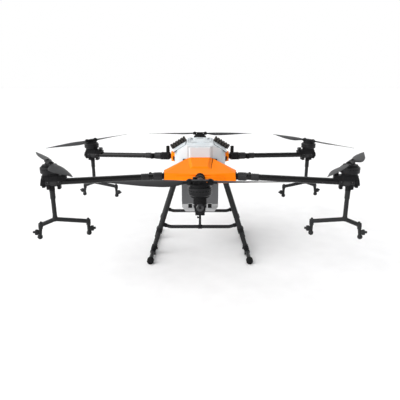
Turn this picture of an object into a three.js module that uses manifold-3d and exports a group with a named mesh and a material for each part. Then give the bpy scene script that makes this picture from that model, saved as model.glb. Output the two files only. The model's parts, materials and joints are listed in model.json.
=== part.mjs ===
// Agricultural spray drone: six carbon arms with folding propellers around a faceted body,
// a spray tank hung under it, four twin-nozzle booms and a four-legged landing gear.
// Millimetres, +Z up, front towards -Y, origin on the ground under the body's centre.
import * as THREE from "three";
import { mergeVertices } from "three/addons/utils/BufferGeometryUtils.js";
import { ConvexGeometry } from "three/addons/geometries/ConvexGeometry.js";
import Module from "manifold-3d";

// Driving dimensions
const ARM_HEIGHT = 475; // arm tube axis over the ground, at the motors
const MOTOR_CIRCLE = 812.5; // body centre to motor axis
const SIDE_ROOT = { x: 183, y: 309.4, rise: 7.5 }; // where a side arm leaves the body
const GAP = 0.3; // clearance between touching pieces
const TUBE_RADIUS = 15.5;
const FRONT_SIDE_PARTING = -470; // fold plane of the front side arms, from the motor axis
const OTHER_PARTING = -412; // fold plane of the other arms
const BLADE_HEIGHT = 92; // blade pivot over the tube axis
const BLADE_PIVOT = 39; // blade pivot from the motor axis
const BLADE_SPAN = 342; // blade pivot to tip
const BOOM_DROP = 183.7; // tube axis down to the boom's fork
const SKID_SPREAD = 263; // skid axis from the middle
const SKID_HEIGHT = 17.6; // skid axis over the ground
const LEG_PLANE = 128; // legs and crossbars, fore and aft of the middle

// Geometry helpers
const wasm = await Module();
wasm.setup();

function solid(geometry) {
  const bare = geometry.clone();
  bare.deleteAttribute("normal");
  bare.deleteAttribute("uv");
  const merged = mergeVertices(bare, 1e-3);
  const vertProperties = merged.attributes.position.array;
  const triVerts = new Uint32Array(merged.index.array);
  return new wasm.Manifold(new wasm.Mesh({ numProp: 3, vertProperties, triVerts }));
}

function geometryOf(manifold) {
  const mesh = manifold.getMesh();
  const geometry = new THREE.BufferGeometry();
  geometry.setAttribute("position", new THREE.BufferAttribute(mesh.vertProperties, 3));
  geometry.setIndex(new THREE.BufferAttribute(mesh.triVerts, 1));
  const flat = geometry.toNonIndexed();
  flat.computeVertexNormals();
  return flat;
}

function join(...pieces) {
  return geometryOf(pieces.map(solid).reduce((whole, piece) => whole.add(piece)));
}

function cut(base, ...tools) {
  return geometryOf(tools.map(solid).reduce((whole, tool) => whole.subtract(tool), solid(base)));
}

function common(a, b) {
  return geometryOf(solid(a).intersect(solid(b)));
}

function block(x0, x1, y0, y1, z0, z1) {
  const box = new THREE.BoxGeometry(x1 - x0, y1 - y0, z1 - z0);
  return box.translate((x0 + x1) / 2, (y0 + y1) / 2, (z0 + z1) / 2);
}

// A round bar from one point to another; endRadius makes it a cone.
function bar(radius, from, to, sides = 8, endRadius = radius) {
  const start = new THREE.Vector3(...from);
  const run = new THREE.Vector3(...to).sub(start);
  const cylinder = new THREE.CylinderGeometry(endRadius, radius, run.length(), sides);
  cylinder.translate(0, run.length() / 2, 0);
  const turn = new THREE.Quaternion();
  turn.setFromUnitVectors(new THREE.Vector3(0, 1, 0), run.normalize());
  return cylinder.applyQuaternion(turn).translate(...from);
}

// A solid of revolution about Z from a profile of radius and height, bottom to top.
function turned(profile, sides) {
  const points = profile.map(([radius, z]) => new THREE.Vector2(radius, z));
  return new THREE.LatheGeometry(points, sides).rotateX(Math.PI / 2);
}

// An upright prism over a plan outline, between two heights.
function prism(outline, z0, z1) {
  const shape = new THREE.Shape(outline.map(([x, y]) => new THREE.Vector2(x, y)));
  const options = { depth: z1 - z0, bevelEnabled: false };
  return new THREE.ExtrudeGeometry(shape, options).translate(0, 0, z0);
}

// A prism along Y over an outline in X and Z.
function crossPrism(outline, y0, y1) {
  return prism(outline, 0, y1 - y0).rotateX(Math.PI / 2).translate(0, y1, 0);
}

// Both sides of a half outline that runs along x > 0.
function mirrored(half) {
  return [...half, ...half.map(([x, y]) => [-x, y]).reverse()];
}

function hull(points) {
  return new ConvexGeometry(points.map((point) => new THREE.Vector3(...point)));
}

// Colours and finishes
function finish(color, roughness, metalness = 0) {
  return new THREE.MeshStandardMaterial({ color, roughness, metalness });
}
const ORANGE = finish(0xff8418, 0.42);
const WHITE = finish(0xeef0f2, 0.35);
const CARBON = finish(0x0c0d0e, 0.22, 0.1);
const BLACK_PLASTIC = finish(0x1a1b1c, 0.55);
const DARK_METAL = finish(0x242628, 0.4, 0.7);
const BLADE_CARBON = finish(0x2b2d2f, 0.38, 0.1);
const BLACK_TUBE = finish(0x2a2c2e, 0.45, 0.3);
const TANK_GREY = finish(0x6c6f72, 0.45);
const GRIP_BROWN = finish(0x45403b, 0.7);
const RUBBER = finish(0x161616, 0.85);

const drone = new THREE.Group();
drone.position.z = ARM_HEIGHT;

function addPart(parent, name, geometry, material) {
  const mesh = new THREE.Mesh(geometry, material.clone());
  mesh.name = name;
  parent.add(mesh);
  return mesh;
}

// Arms. Each station's own X runs outward along its arm and its origin is on the motor axis.
const DEGREE = Math.PI / 180;
const SIDE_MOTOR = {
  x: MOTOR_CIRCLE * Math.cos(30 * DEGREE),
  y: MOTOR_CIRCLE * Math.sin(30 * DEGREE),
};
const SIDE_AZIMUTH = Math.atan2(SIDE_MOTOR.y - SIDE_ROOT.y, SIDE_MOTOR.x - SIDE_ROOT.x);
const SIDE_REACH = Math.hypot(SIDE_MOTOR.y - SIDE_ROOT.y, SIDE_MOTOR.x - SIDE_ROOT.x);
const ARM_DROOP = Math.atan2(SIDE_ROOT.rise, SIDE_REACH);
const BOOM_TWIST = 2.4 * DEGREE; // the spreader stands a little off the arm's line

// hinge: side of the tube that carries the fold hinge; bladeAngle: from +X, seen from above;
// sweep: how far each of the two blades is folded from that, in degrees;
// spin: +1 counter-clockwise; twist: sign of the boom's small turn, 0 for no boom.
const STATIONS = [
  { name: "front", x: 0, y: -MOTOR_CIRCLE, azimuth: -90 * DEGREE,
    parting: OTHER_PARTING, hinge: -1, bladeAngle: 0, sweep: [0, 0], spin: -1, twist: 0 },
  { name: "front_left", x: -SIDE_MOTOR.x, y: -SIDE_MOTOR.y, azimuth: Math.PI + SIDE_AZIMUTH,
    parting: FRONT_SIDE_PARTING, hinge: -1, bladeAngle: 120, sweep: [-1.5, 2], spin: 1, twist: 1 },
  { name: "rear_left", x: -SIDE_MOTOR.x, y: SIDE_MOTOR.y, azimuth: Math.PI - SIDE_AZIMUTH,
    parting: OTHER_PARTING, hinge: 1, bladeAngle: 62, sweep: [0, 0], spin: -1, twist: -1 },
  { name: "rear", x: 0, y: MOTOR_CIRCLE, azimuth: 90 * DEGREE,
    parting: OTHER_PARTING, hinge: -1, bladeAngle: 0, sweep: [0, 0], spin: 1, twist: 0 },
  { name: "rear_right", x: SIDE_MOTOR.x, y: SIDE_MOTOR.y, azimuth: SIDE_AZIMUTH,
    parting: OTHER_PARTING, hinge: -1, bladeAngle: 118, sweep: [0, 0], spin: -1, twist: 1 },
  { name: "front_right", x: SIDE_MOTOR.x, y: -SIDE_MOTOR.y, azimuth: -SIDE_AZIMUTH,
    parting: FRONT_SIDE_PARTING, hinge: 1, bladeAngle: 60, sweep: [1.5, -2], spin: 1, twist: -1 },
];

const EAR_OFFSET = 27; // fold pin from the tube's axis
const EAR_RADIUS = 8;
const PIN_RADIUS = 3.5;

function foldEar(station, z0, z1, towards) {
  const { parting, hinge } = station;
  const y = hinge * EAR_OFFSET;
  const disc = bar(EAR_RADIUS, [parting, y, z0], [parting, y, z1]);
  const near = parting + towards * (GAP / 2);
  const far = parting + towards * 14;
  const [x0, x1] = [Math.min(near, far), Math.max(near, far)];
  const [y0, y1] = [Math.min(hinge * 8, y), Math.max(hinge * 8, y)];
  return [disc, block(x0, x1, y0, y1, z0, z1)];
}

function armTube(station) {
  const { parting, hinge } = station;
  const y = hinge * EAR_OFFSET;
  const start = parting + GAP;
  const tube = bar(TUBE_RADIUS, [start, 0, 0], [28, 0, 0], 12);
  const lockRing = bar(18, [parting + 12, 0, 0], [parting + 47, 0, 0], 12);
  const whole = join(tube, lockRing, ...foldEar(station, -5, 5, 1));
  const socketSide = block(parting - 20, parting + GAP / 2, -12, 12, -20, 20);
  return cut(
    whole,
    bar(12.5, [start - 10, 0, 0], [20, 0, 0]),
    bar(PIN_RADIUS + GAP, [parting, y, -9], [parting, y, 9]),
    socketSide,
  );
}

function socketPieces(station) {
  const { parting, hinge } = station;
  const y = hinge * EAR_OFFSET;
  return [
    bar(21, [parting - 54, 0, 0], [parting - 12, 0, 0], 12),
    bar(TUBE_RADIUS, [parting - 20, 0, 0], [parting - GAP, 0, 0], 12),
    ...foldEar(station, -15, -5 - GAP, -1),
    ...foldEar(station, 5 + GAP, 15, -1),
    bar(PIN_RADIUS, [parting, y, -17], [parting, y, 17]),
  ];
}

function frontSocket(station) {
  const root = bar(15, [-540, 0, 0], [-520, 0, 0]);
  return join(root, ...socketPieces(station));
}

function rearSocket(station) {
  const root = bar(15, [-540, 0, 0], [-520, 0, 0]);
  const base = block(-523, -460, -20, 20, -21.5, 21.5);
  return join(root, base, ...socketPieces(station));
}

function antennaPost() {
  const x = -511;
  const mast = bar(10, [x, 0, 21.5 + GAP], [x, 0, 30], 12);
  const cap = bar(11, [x, 0, 26], [x, 0, 63], 12);
  return join(mast, cap);
}

const MOUNT_TOP = 38;
const BELL_BOTTOM = 44;

function motorMount(station) {
  const clamp = bar(22, [-44, 0, 0], [30, 0, 0], 12);
  const motorBase = common(
    bar(41, [0, 0, 14], [0, 0, MOUNT_TOP], 20),
    block(-41, 41, -24, 24, 14, MOUNT_TOP),
  );
  const neck = bar(24, [0, 0, MOUNT_TOP - 1], [0, 0, BELL_BOTTOM - GAP], 12);
  const wedgeSide = [[-72, 8], [24, 8], [24, MOUNT_TOP - 2], [-30, MOUNT_TOP - 3], [-72, 28]];
  const wedge = crossPrism(wedgeSide, -23, 23);
  const gland = bar(9, [-73, 0, 38], [-50, 0, 40]);
  const feet = [block(-43, -27, -18, 18, -33, 0), block(6, 22, -18, 18, -33, 0)];
  const lamp = bar(19, [27, 0, 1], [47, 0, 5], 10, 21.5);
  const lampLip = bar(6, [31, 0, -19], [43, 0, -17], 6);
  const pieces = [clamp, motorBase, neck, wedge, gland, ...feet, lamp, lampLip];
  if (station.twist) pieces.push(bar(13.5, [0, 0, -42], [0, 0, 0]));
  return cut(join(...pieces), bar(TUBE_RADIUS + GAP, [-80, 0, 0], [28 + GAP, 0, 0], 12));
}

// Rotor: motor bell, shaft and the two clamp plates that hold the blades by their bolts.
const BOLT_RADIUS = 4.5;
const BOLT_SIDES = 10;
const PLATE_OUTLINE = mirrored([[45, -14], [52, -6], [52, 6], [45, 14]]);

function rotor() {
  // A cup open downwards round its hub, its lower rim drawn in
  const bellProfile = [[0, BELL_BOTTOM], [14, BELL_BOTTOM], [14, 67], [41, 67], [41, 58], [26, 46],
    [29, BELL_BOTTOM], [45.5, 56], [45.5, 68], [37, 75], [0, 75]];
  const bell = turned(bellProfile, 16);
  const adapter = bar(34, [0, 0, 74], [0, 0, BLADE_HEIGHT - 7], 16);
  const shaft = bar(13, [0, 0, 74], [0, 0, BLADE_HEIGHT + 7], 8);
  const plates = [-8, 5].map((below) => {
    return prism(PLATE_OUTLINE, BLADE_HEIGHT + below, BLADE_HEIGHT + below + 3);
  });
  const bolts = [-1, 1].map((side) => {
    const x = side * BLADE_PIVOT;
    return bar(BOLT_RADIUS, [x, 0, BLADE_HEIGHT - 10], [x, 0, BLADE_HEIGHT + 12], BOLT_SIDES);
  });
  return join(bell, adapter, shaft, ...plates, ...bolts);
}

// A blade along +X from its pivot, with its leading edge high on the side it turns towards.
const BLADE_NECK = 17;

function curveThrough(values) {
  return new THREE.SplineCurve(values.map((value, i) => new THREE.Vector2(i, value)));
}

const leadingEdge = curveThrough([9, 14, 17, 18, 17, 15, 12, 8, 2.5]);
const trailingEdge = curveThrough([11, 30, 37, 36, 33, 26, 18, 9, 2.5]);

function blade(spin) {
  const wing = new THREE.CylinderGeometry(1, 1, 1, 8, 8);
  const position = wing.attributes.position;
  for (let i = 0; i < position.count; i++) {
    const t = position.getY(i) + 0.5;
    const side = -position.getX(i);
    const edge = side * spin > 0 ? leadingEdge : trailingEdge;
    const pitch = THREE.MathUtils.lerp(20, 7, t) * DEGREE;
    const thickness = THREE.MathUtils.lerp(8.4, 2, t);
    const across = side * edge.getPoint(t).y;
    const up = (position.getZ(i) * thickness) / 2;
    position.setXYZ(
      i,
      BLADE_NECK + t * (BLADE_SPAN - BLADE_NECK),
      across * Math.cos(pitch) - spin * up * Math.sin(pitch),
      up * Math.cos(pitch) + spin * across * Math.sin(pitch),
    );
  }
  const eye = bar(12, [0, 0, -4.6], [0, 0, 4.6]);
  const neck = block(0, BLADE_NECK + 3, -9, 9, -4.2, 4.2);
  return cut(
    join(wing, eye, neck),
    bar(BOLT_RADIUS + 3 * GAP, [0, 0, -9], [0, 0, 9], BOLT_SIDES),
  );
}

// Spray boom: mast, forked spreader and, at each end, elbow, drop tube, check valve and nozzle.
const SPREADER = { inner: -153.6, outer: 69, droop: 24 };
const OUTER_LEAN = 8.5 * DEGREE; // the outer drop tube points a little away from the drone

// Drop tube with its valve, below the elbow at the spreader's end.
function dropTube(outward) {
  const tip = -60;
  const valveZ = -38;
  const profile = [[0, tip - 12], [8, tip - 10], [12.5, tip], [8, tip + 11], [8, -12],
    [11.5, -12], [11.5, 10], [5.5, 10], [5.5, 17], [0, 17]];
  return [
    turned(profile, 8),
    bar(13.5, [0, 0, valveZ], [outward * 25, 0, valveZ]),
    bar(6, [outward * 20, 0, valveZ], [outward * 34, 0, valveZ], 6),
  ];
}

function nozzleBoom() {
  const top = -42 - GAP;
  const mastProfile = [[0, -BOOM_DROP - 12], [12, -BOOM_DROP - 12], [12, -BOOM_DROP + 13],
    [10.5, -BOOM_DROP + 13], [10.5, -80], [12.5, -80], [12.5, top], [0, top]];
  const forkEnd = -BOOM_DROP - SPREADER.droop;
  const arms = [SPREADER.inner, SPREADER.outer].map((x) => {
    return bar(10.5, [0, 0, -BOOM_DROP], [x, 0, forkEnd]);
  });
  const drops = [
    ...dropTube(-1).map((piece) => piece.translate(SPREADER.inner, 0, forkEnd)),
    ...dropTube(1).map((piece) => piece.rotateY(-OUTER_LEAN).translate(SPREADER.outer, 0, forkEnd)),
  ];
  return join(turned(mastProfile, 8), ...arms, ...drops);
}

function stationGroup(station) {
  const group = new THREE.Group();
  group.position.set(station.x, station.y, 0);
  group.rotation.set(0, ARM_DROOP, station.azimuth, "ZYX");
  group.updateMatrix();
  return group;
}

for (const station of STATIONS) {
  const { name, spin, twist, azimuth, bladeAngle, sweep } = station;
  const group = stationGroup(station);
  drone.add(group);
  addPart(group, `arm_tube_${name}`, armTube(station), CARBON);
  addPart(group, `motor_mount_${name}`, motorMount(station), BLACK_PLASTIC);
  if (twist) {
    const isFront = station.parting === FRONT_SIDE_PARTING;
    const socket = isFront ? frontSocket(station) : rearSocket(station);
    addPart(group, `fold_socket_${name}`, socket, BLACK_PLASTIC);
    if (!isFront) addPart(group, `antenna_${name}`, antennaPost(), BLACK_PLASTIC);
    const boom = addPart(group, `nozzle_boom_${name}`, nozzleBoom(), BLACK_TUBE);
    boom.rotation.z = twist * BOOM_TWIST;
  }
  const turning = new THREE.Group();
  turning.rotation.z = bladeAngle * DEGREE - azimuth;
  group.add(turning);
  addPart(turning, `rotor_${name}`, rotor(), DARK_METAL);
  for (const [letter, side, fold] of [["a", 1, sweep[0]], ["b", -1, sweep[1]]]) {
    const mesh = addPart(turning, `blade_${name}_${letter}`, blade(spin), BLADE_CARBON);
    mesh.position.set(side * BLADE_PIVOT, 0, BLADE_HEIGHT);
    mesh.rotation.z = (side > 0 ? 0 : Math.PI) + fold * DEGREE;
  }
}

// Body. Heights are from the arm tubes' axis.
const FRAME_TOP = 10;
const FRAME_BOTTOM = -10;
const TANK_HALF_WIDTH = 98;
const TANK_HALF_LENGTH = 141;
const TANK_BOTTOM = -225;
const TANK_TOP = 45;
const HOUSING_TOP = 140;
const FILLER_Y = -92;

const housingHalfPlan = [[52, -170], [66, -166], [110, -140], [137, -70],
  [137, 70], [110, 140], [66, 166], [52, 170]];
const housingSection = [[137, 0], [137, 97], [68, HOUSING_TOP]];

// The housing's outer form, grown by a clearance or shrunk by a wall.
function housingForm(grow, z0, z1) {
  const plan = housingHalfPlan.map(([x, y]) => [x + grow, y + Math.sign(y) * grow]);
  const section = housingSection.map(([x, z]) => [x + grow * (z > 100 ? 0.4 : 1), z + grow]);
  section[0][1] = z0;
  section[2][1] = Math.min(section[2][1], z1);
  return common(prism(mirrored(plan), z0, z1), crossPrism(mirrored(section), -200, 200));
}

function centreFrame() {
  const outline = mirrored([[62, -330], [168, -326], [168, -262], [132, -150],
    [132, 150], [168, 262], [168, 326], [62, 330]]);
  const deck = prism(outline, FRAME_BOTTOM, FRAME_TOP);
  const tankBay = block(-101, 101, -148, 148, -30, 30);
  const openings = [-1, 1].map((end) => {
    const [y0, y1] = [Math.min(end * 175, end * 205), Math.max(end * 175, end * 205)];
    return block(-90, 90, y0, y1, -30, 30);
  });
  // A groove round the edge leaves the deck as two plates on a core.
  const edgeGroove = cut(
    block(-200, 200, -350, 350, -6, 6),
    prism(outline.map(([x, y]) => [x * 0.95, y * 0.975]), -6, 6),
  );
  const collars = STATIONS.filter((station) => !station.twist).map((station) => {
    const collar = join(...socketPieces(station), bar(15, [-500, 0, 0], [-460, 0, 0]));
    return collar.applyMatrix4(stationGroup(station).matrix);
  });
  return join(cut(deck, tankBay, ...openings, edgeGroove), ...collars);
}

// Front cover: a faceted nose with a wing out to each side arm. The rear cover's wings are higher.
const REAR_WING_LIFT = 6;
const COVER_CORNERS = [
  [63, -163, 74], [44, -290, 40], [52, -350, 23], [58, -352, -20], [118, -337, 29],
  [118, -338, -20], [172, -334, 29], [176, -338, -20], [180, -285, 33], [180, -283, -20],
  [63, -163, -20],
];
const COVER_MIDDLE = -258;

function coverCorners(wingLift) {
  return COVER_CORNERS.map(([x, y, z]) => [x, y, x > 100 && z > 0 ? z + wingLift : z]);
}

function bothSides(corners) {
  return hull([...corners, ...corners.map(([x, y, z]) => [-x, y, z])]);
}

// The inside of the cover: its form made smaller by a wall's thickness, and open below.
function coverHollow(corners) {
  return bothSides(corners.map(([x, y, z]) => {
    const inner = COVER_MIDDLE + (y - COVER_MIDDLE) * 0.966;
    return [x * 0.983, inner, z < 0 ? z - 20 : z * 0.97 - 2];
  }));
}

function coverShell(wingLift) {
  const corners = coverCorners(wingLift);
  const deckSlot = block(-170, 170, -295, -140, FRAME_BOTTOM - 1, FRAME_TOP + 1);
  const armHoles = [-1, 1].map((side) => {
    const [y, z] = [-SIDE_ROOT.y, SIDE_ROOT.rise];
    return bar(17, [side * 150, y, z], [side * 200, y, z], 12);
  });
  const noseHole = bar(23, [0, -300, 6], [0, -370, 6], 16);
  const openings = [deckSlot, ...armHoles, noseHole];
  return cut(bothSides(corners), coverHollow(corners), housingForm(0.6, 0, 150), ...openings);
}

// A pedestal on each shoulder carries a ribbed grip block.
const PEDESTAL_TOP = 6;
const SHOULDER_SLOPE = Math.atan2(HOUSING_TOP - 97, 137 - 68);

function onShoulder(geometry, side) {
  geometry.rotateY(side * SHOULDER_SLOPE);
  return geometry.translate(side * 110, 12, HOUSING_TOP - ((110 - 68) * (HOUSING_TOP - 97)) / 69);
}

function topHousing() {
  const shell = cut(housingForm(0, FRAME_TOP + GAP, 160), housingForm(-3, FRAME_TOP - 10, 160));
  const batteryBay = block(-66, 66, -16, 154, 80, 160);
  const fillerHole = bar(43.5, [0, FILLER_Y, 120], [0, FILLER_Y, 160], 20);
  const pedestals = [-1, 1].map((side) => onShoulder(block(-26, 26, -12, 12, -2, PEDESTAL_TOP), side));
  return join(cut(shell, batteryBay, fillerHole), ...pedestals);
}

function gripBlock(side) {
  const ribs = [-36, -18, 0, 18, 36].map((x) => block(x - 6, x + 6, -15, 15, 28, 34));
  const body = block(-46, 46, -15, 15, PEDESTAL_TOP + GAP, 30);
  return onShoulder(join(body, ...ribs), side);
}

function sprayTank() {
  const chamfer = { across: 20, up: 27 };
  const section = (inset) => {
    const side = TANK_HALF_WIDTH - inset;
    const bottom = TANK_BOTTOM + inset;
    const corner = [[side - chamfer.across, bottom], [side, bottom + chamfer.up]];
    return mirrored([...corner, [side, TANK_TOP - inset]]);
  };
  const wall = 4;
  const outer = crossPrism(section(0), -TANK_HALF_LENGTH, TANK_HALF_LENGTH);
  const inner = crossPrism(section(wall), wall - TANK_HALF_LENGTH, TANK_HALF_LENGTH - wall);
  const neck = bar(38, [0, FILLER_Y, TANK_TOP - 2], [0, FILLER_Y, 126], 12);
  const sump = bar(16, [0, -70, TANK_BOTTOM - 6], [0, -70, TANK_BOTTOM + 2]);
  const sightPorts = [-53, 53].map((x) => {
    const front = -TANK_HALF_LENGTH;
    return block(x - 11, x + 11, front - 2, front + 1.5, TANK_BOTTOM + 20, TANK_BOTTOM + 45);
  });
  return cut(
    join(outer, neck, sump),
    inner,
    bar(34, [0, FILLER_Y, TANK_TOP - 10], [0, FILLER_Y, 130], 12),
    ...sightPorts,
  );
}

function tankCap() {
  const plug = bar(32, [0, FILLER_Y, 116], [0, FILLER_Y, 128], 12);
  const lid = bar(42.5, [0, FILLER_Y, 126 + GAP], [0, FILLER_Y, HOUSING_TOP], 20);
  const grip = block(-30, 30, FILLER_Y - 5, FILLER_Y + 5, HOUSING_TOP - 1, HOUSING_TOP + 4);
  return join(plug, lid, grip);
}

function batteryPack() {
  const pack = block(-64, 64, -14, 151, 48, HOUSING_TOP);
  const fingerSlots = [-1, 1].map((side) => {
    const [x0, x1] = [Math.min(side * 40, side * 58), Math.max(side * 40, side * 58)];
    return block(x0, x1, 40, 100, HOUSING_TOP - 8, HOUSING_TOP + 5);
  });
  return cut(pack, ...fingerSlots);
}

function flightController() {
  const box = block(-34, 34, -296, -236, FRAME_TOP + GAP, 28);
  return join(box, block(-20, 20, -284, -250, 27, 31));
}

function sprayPump() {
  const motor = bar(11, [-34, 262, 22], [20, 262, 22]);
  return join(motor, block(14, 40, 246, 278, FRAME_TOP + GAP, 33),
    block(-30, 10, 254, 270, FRAME_TOP + GAP, 16));
}

addPart(drone, "centre_frame", centreFrame(), CARBON);
addPart(drone, "front_cover", coverShell(0), ORANGE);
addPart(drone, "rear_cover", coverShell(REAR_WING_LIFT).rotateZ(Math.PI), ORANGE);
addPart(drone, "top_housing", topHousing(), WHITE);
addPart(drone, "grip_left", gripBlock(-1), GRIP_BROWN);
addPart(drone, "grip_right", gripBlock(1), GRIP_BROWN);
addPart(drone, "spray_tank", sprayTank(), TANK_GREY);
addPart(drone, "tank_cap", tankCap(), WHITE);
addPart(drone, "battery_pack", batteryPack(), WHITE);
addPart(drone, "flight_controller", flightController(), BLACK_PLASTIC);
addPart(drone, "spray_pump", sprayPump(), BLACK_PLASTIC);

// Landing gear
const SKID_Z = SKID_HEIGHT - ARM_HEIGHT;
const SKID_RADIUS = 10.5;
const SKID_ENDS = [-285, 270];
const LEG_RADIUS = 14.5;
const LEG_FOOT_RADIUS = 12.5;
const LEG_STEP = -335; // where the leg's thicker upper tube ends
const LEG_LEAN = (263 - 144) / (457 - 86); // sideways run per unit of height
const LEG_TOP = FRAME_BOTTOM - GAP;

function legX(z) {
  return SKID_SPREAD - (z - SKID_Z) * LEG_LEAN;
}

function legBar(side, end, radius, z0, z1, sides = 10) {
  const y = end * LEG_PLANE;
  return bar(radius, [side * legX(z0), y, z0], [side * legX(z1), y, z1], sides);
}

function skidBar(side, radius, y0, y1) {
  return bar(radius, [side * SKID_SPREAD, y0, SKID_Z], [side * SKID_SPREAD, y1, SKID_Z], 10);
}

function leg(side, end) {
  const y = end * LEG_PLANE;
  const upper = legBar(side, end, LEG_RADIUS, LEG_STEP, LEG_TOP + 10);
  const lower = legBar(side, end, LEG_FOOT_RADIUS, SKID_Z, LEG_STEP + 5);
  const collar = legBar(side, end, LEG_RADIUS + 2, LEG_STEP - 12, LEG_STEP + 12);
  const sleeve = legBar(side, end, LEG_FOOT_RADIUS + 3, SKID_Z + 8, SKID_Z + 34);
  const tee = skidBar(side, 15, y - 24, y + 24);
  const bolts = [[14, 26, y], [-12, 14, y + end * 20]].map(([up, inward, boltY]) => {
    const z = SKID_Z + up;
    return bar(5, [side * SKID_SPREAD, boltY, z], [side * (SKID_SPREAD - inward), boltY, z], 6);
  });
  const deckSide = block(-400, 400, -300, 300, LEG_TOP, 40);
  return cut(
    join(upper, lower, collar, sleeve, tee, ...bolts),
    deckSide,
    skidBar(side, SKID_RADIUS + GAP, y - 40, y + 40),
    legBar(side, end, LEG_RADIUS - 3, LEG_STEP + 20, LEG_TOP + 20, 8),
  );
}

function skid(side) {
  const tube = skidBar(side, SKID_RADIUS, SKID_ENDS[0] + 5, SKID_ENDS[1] - 5);
  const caps = [
    skidBar(side, 18, SKID_ENDS[0], SKID_ENDS[0] + 26),
    skidBar(side, 18, SKID_ENDS[1] - 26, SKID_ENDS[1]),
  ];
  const ground = -ARM_HEIGHT;
  return cut(join(tube, ...caps), block(-400, 400, -400, 400, ground - 20, ground));
}

// A bent tube between two legs. The front one also carries the strut under the tank.
const CROSSBAR = { front: -316, rear: -300, rise: 16, straight: 165, radius: 9.5 };

function crossbarRun(end, radius, sides) {
  const y = end * LEG_PLANE;
  const z = end < 0 ? CROSSBAR.front : CROSSBAR.rear;
  const run = bar(radius, [-CROSSBAR.straight, y, z], [CROSSBAR.straight, y, z], sides);
  const bends = [-1, 1].map((side) => {
    const tip = [side * legX(z + CROSSBAR.rise), y, z + CROSSBAR.rise];
    return bar(radius, [side * CROSSBAR.straight, y, z], tip, sides);
  });
  return join(run, ...bends);
}

function crossbar(end) {
  const y = end * LEG_PLANE;
  const pieces = [crossbarRun(end, CROSSBAR.radius, 8)];
  if (end < 0) {
    pieces.push(bar(6.5, [0, y, CROSSBAR.front], [0, y, TANK_BOTTOM - GAP], 8));
    pieces.push(bar(11.5, [-10, y, CROSSBAR.front], [10, y, CROSSBAR.front]));
    pieces.push(bar(4.5, [-16, y, -262], [0, y, -262], 6));
  }
  const legs = [-1, 1].map((side) => {
    return legBar(side, end, LEG_RADIUS + GAP, SKID_Z, LEG_TOP);
  });
  return cut(join(...pieces), ...legs, crossbarRun(end, CROSSBAR.radius - 2.5, 8));
}

for (const [sideName, side] of [["left", -1], ["right", 1]]) {
  for (const [endName, end] of [["front", -1], ["rear", 1]]) {
    addPart(drone, `leg_${endName}_${sideName}`, leg(side, end), BLACK_TUBE);
  }
  addPart(drone, `skid_${sideName}`, skid(side), RUBBER);
}
addPart(drone, "crossbar_front", crossbar(-1), BLACK_TUBE);
addPart(drone, "crossbar_rear", crossbar(1), BLACK_TUBE);

export default drone;
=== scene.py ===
"""Looks of the agricultural spray drone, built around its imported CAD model.

Each CAD node is replaced by one detailed piece. Lengths inside a piece are in millimetres.
"""

import json
import math

import bmesh
import bpy
from mathutils import Matrix, Quaternion, Vector


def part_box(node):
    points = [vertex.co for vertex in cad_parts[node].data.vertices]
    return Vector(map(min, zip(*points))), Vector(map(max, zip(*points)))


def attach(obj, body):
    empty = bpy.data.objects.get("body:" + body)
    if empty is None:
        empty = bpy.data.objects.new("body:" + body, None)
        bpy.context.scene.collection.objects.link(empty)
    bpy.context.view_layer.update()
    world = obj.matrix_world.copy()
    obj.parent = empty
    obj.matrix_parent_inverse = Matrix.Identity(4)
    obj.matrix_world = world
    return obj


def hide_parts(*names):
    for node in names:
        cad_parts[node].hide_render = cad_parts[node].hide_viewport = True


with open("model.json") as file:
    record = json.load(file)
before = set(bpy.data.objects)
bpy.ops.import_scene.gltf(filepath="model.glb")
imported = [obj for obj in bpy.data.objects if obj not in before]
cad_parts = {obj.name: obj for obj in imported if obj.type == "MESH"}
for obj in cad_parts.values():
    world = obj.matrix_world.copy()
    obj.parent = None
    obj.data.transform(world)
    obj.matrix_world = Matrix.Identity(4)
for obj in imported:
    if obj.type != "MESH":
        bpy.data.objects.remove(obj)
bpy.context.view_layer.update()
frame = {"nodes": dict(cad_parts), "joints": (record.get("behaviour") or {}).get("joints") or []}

MM = 0.001
JOINTS = {joint["name"]: joint for joint in frame["joints"]}
STATIONS = [name[len("spin_"):] for name in JOINTS if name.startswith("spin_")]


def new_object(name, data):
    made = bpy.data.objects.new(name, data)
    bpy.context.scene.collection.objects.link(made)
    return made


# Materials

GRAIN_SCALE = 900.0  # the fine grain of moulded and painted surfaces
CLOUD_SCALE = 9.0  # slow changes of colour
GLOSS_SCALE = 60.0  # patches of more and less gloss
WEAVE_SCALE = 110.0  # the bands of carbon twill


def new_material(name):
    """A material with its nodes, links and shader, and the object's own coordinates."""
    material = bpy.data.materials.new(name)
    material.use_nodes = True
    nodes = material.node_tree.nodes
    place = nodes.new("ShaderNodeTexCoord").outputs["Object"]
    return material, nodes, material.node_tree.links, nodes["Principled BSDF"], place


def noise(nodes, links, vector, scale, detail=4.0):
    texture = nodes.new("ShaderNodeTexNoise")
    texture.inputs["Scale"].default_value = scale
    texture.inputs["Detail"].default_value = detail
    links.new(vector, texture.inputs["Vector"])
    return texture.outputs["Fac"]


def ramp(nodes, links, factor, stops):
    node = nodes.new("ShaderNodeValToRGB")
    while len(node.color_ramp.elements) < len(stops):
        node.color_ramp.elements.new(0.5)
    for element, (position, colour) in zip(node.color_ramp.elements, stops):
        element.position = position
        element.color = (*colour, 1.0)
    links.new(factor, node.inputs["Fac"])
    return node.outputs["Color"]


def roughness_between(nodes, links, shader, factor, low, high):
    spread = nodes.new("ShaderNodeMapRange")
    spread.inputs["To Min"].default_value = low
    spread.inputs["To Max"].default_value = high
    links.new(factor, spread.inputs["Value"])
    links.new(spread.outputs["Result"], shader.inputs["Roughness"])


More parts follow.
